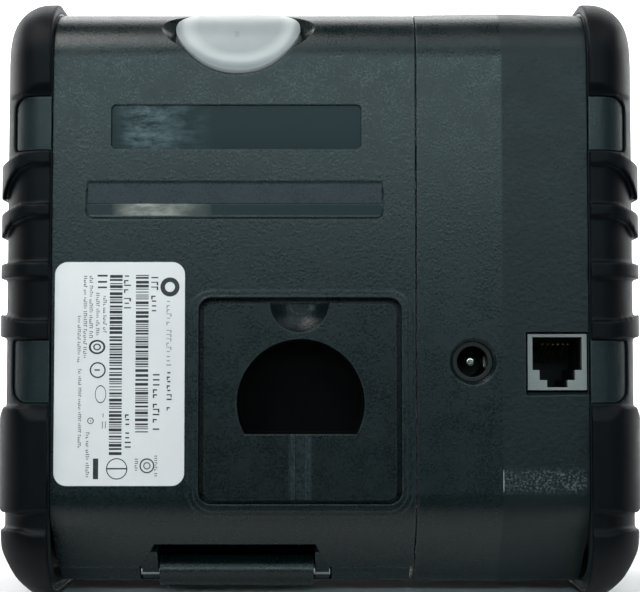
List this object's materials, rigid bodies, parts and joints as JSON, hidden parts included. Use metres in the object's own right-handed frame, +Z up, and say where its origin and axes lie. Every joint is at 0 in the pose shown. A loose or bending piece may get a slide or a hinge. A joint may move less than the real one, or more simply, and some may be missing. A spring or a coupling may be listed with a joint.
{
  "type": "portable receipt printer",
  "caption": "Rugged hand-held receipt printer with rubber end bumpers, hinged paper door, release button, belt-clip socket, power inlet and modular data jack.",
  "frame": {"origin": "centre of the footprint at the plane under the two bumpers", "axes": "+Z up through the upright case; -Y out of the face with the clip socket and ports; +X towards the port section"},
  "size_m": [0.13, 0.066, 0.1222],
  "materials": {
    "casing": "fine moulded grain",
    "end_cap": "satin moulded",
    "rubber": "soft matte",
    "button_grey": "satin",
    "label": "satin laminated",
    "black_plastic": "matte",
    "jack_grey": "satin",
    "steel": "brushed",
    "spring_steel": "bright",
    "aluminium": "satin",
    "ceramic": "glazed strip",
    "contact_metal": "plated",
    "gear_plastic": "satin",
    "platen": "ground",
    "board": "solder resist",
    "components": "moulded",
    "key": "silicone",
    "bezel": "textured film",
    "lens": "translucent",
    "battery": "matte",
    "cable": "flat flex"
  },
  "bodies": {
    "base": {"antenna": "board", "battery_contacts": "contact_metal", "battery_pack": "battery", "board_components": "components", "bumper_left": "rubber", "bumper_right": "rubber", "casing_screws": "steel", "clip_plate": "casing", "clip_socket_cup": "black_plastic", "dc_inlet": "black_plastic", "dc_inlet_pin": "contact_metal", "dc_inlet_spring": "contact_metal", "end_cap_left": "end_cap", "end_cap_right": "end_cap", "head_cable": "cable", "head_heatsink": "aluminium", "head_springs": "spring_steel", "hinge_pin": "steel", "idler_axle": "steel", "jack_contacts": "contact_metal", "keypad_bezel": "bezel", "keypad_board": "board", "latch_bracket": "black_plastic", "latch_springs": "spring_steel", "led_lenses": "lens", "main_board": "board", "mechanism_frame": "steel", "modular_jack": "jack_grey", "paper_sensor": "black_plastic", "paper_tub": "black_plastic", "port_housing_front": "casing", "port_housing_rear": "casing", "print_head": "ceramic", "radio_module": "board", "rear_label": "label", "rear_shell": "casing", "stepper_motor": "steel", "tear_bar": "steel"},
    "door": {"paper_door": "casing", "platen_bushes": "black_plastic"},
    "platen": {"platen_shaft": "steel", "platen_rubber": "platen", "platen_gear": "gear_plastic"},
    "idler": {"idler_gear": "gear_plastic"},
    "motor_rotor": {"motor_shaft": "steel", "motor_pinion": "gear_plastic"},
    "latch": {"release_button": "button_grey", "latch_yoke": "black_plastic"},
    "power_key": {"power_key": "key"},
    "feed_key": {"feed_key": "key"},
    "battery_cover": {"battery_cover": "casing"}
  },
  "joints": [
    {"name": "door_hinge", "type": "hinge", "parent": "base", "child": "door", "pos_m": [-0.0171, -0.0176, 0.005], "axis": [-1, 0, 0], "range_deg": [0, 95]},
    {"name": "platen_spin", "type": "hinge", "parent": "door", "child": "platen", "pos_m": [-0.0172, 0.014, 0.1095], "axis": [1, 0, 0], "continuous": true},
    {"name": "idler_spin", "type": "hinge", "parent": "base", "child": "idler", "pos_m": [0.0158, 0.00207, 0.10825], "axis": [1, 0, 0], "continuous": true},
    {"name": "motor_spin", "type": "hinge", "parent": "base", "child": "motor_rotor", "pos_m": [0.0158, -0.00613, 0.10251], "axis": [1, 0, 0], "continuous": true},
    {"name": "release_press", "type": "slide", "parent": "base", "child": "latch", "axis": [0, 0.7071, -0.7071], "range_m": [0, 0.0025], "deforming": ["latch_springs"]},
    {"name": "power_press", "type": "slide", "parent": "base", "child": "power_key", "axis": [0, -1, 0], "range_m": [0, 0.0008]},
    {"name": "feed_press", "type": "slide", "parent": "base", "child": "feed_key", "axis": [0, -1, 0], "range_m": [0, 0.0008]},
    {"name": "battery_cover_lift", "type": "slide", "parent": "base", "child": "battery_cover", "axis": [0, 1, 0], "range_m": [0, 0.05]}
  ],
  "couplings": [
    {"joint": "idler_spin", "follows": "platen_spin", "ratio": -1},
    {"joint": "motor_spin", "follows": "platen_spin", "ratio": 1.5}
  ]
}
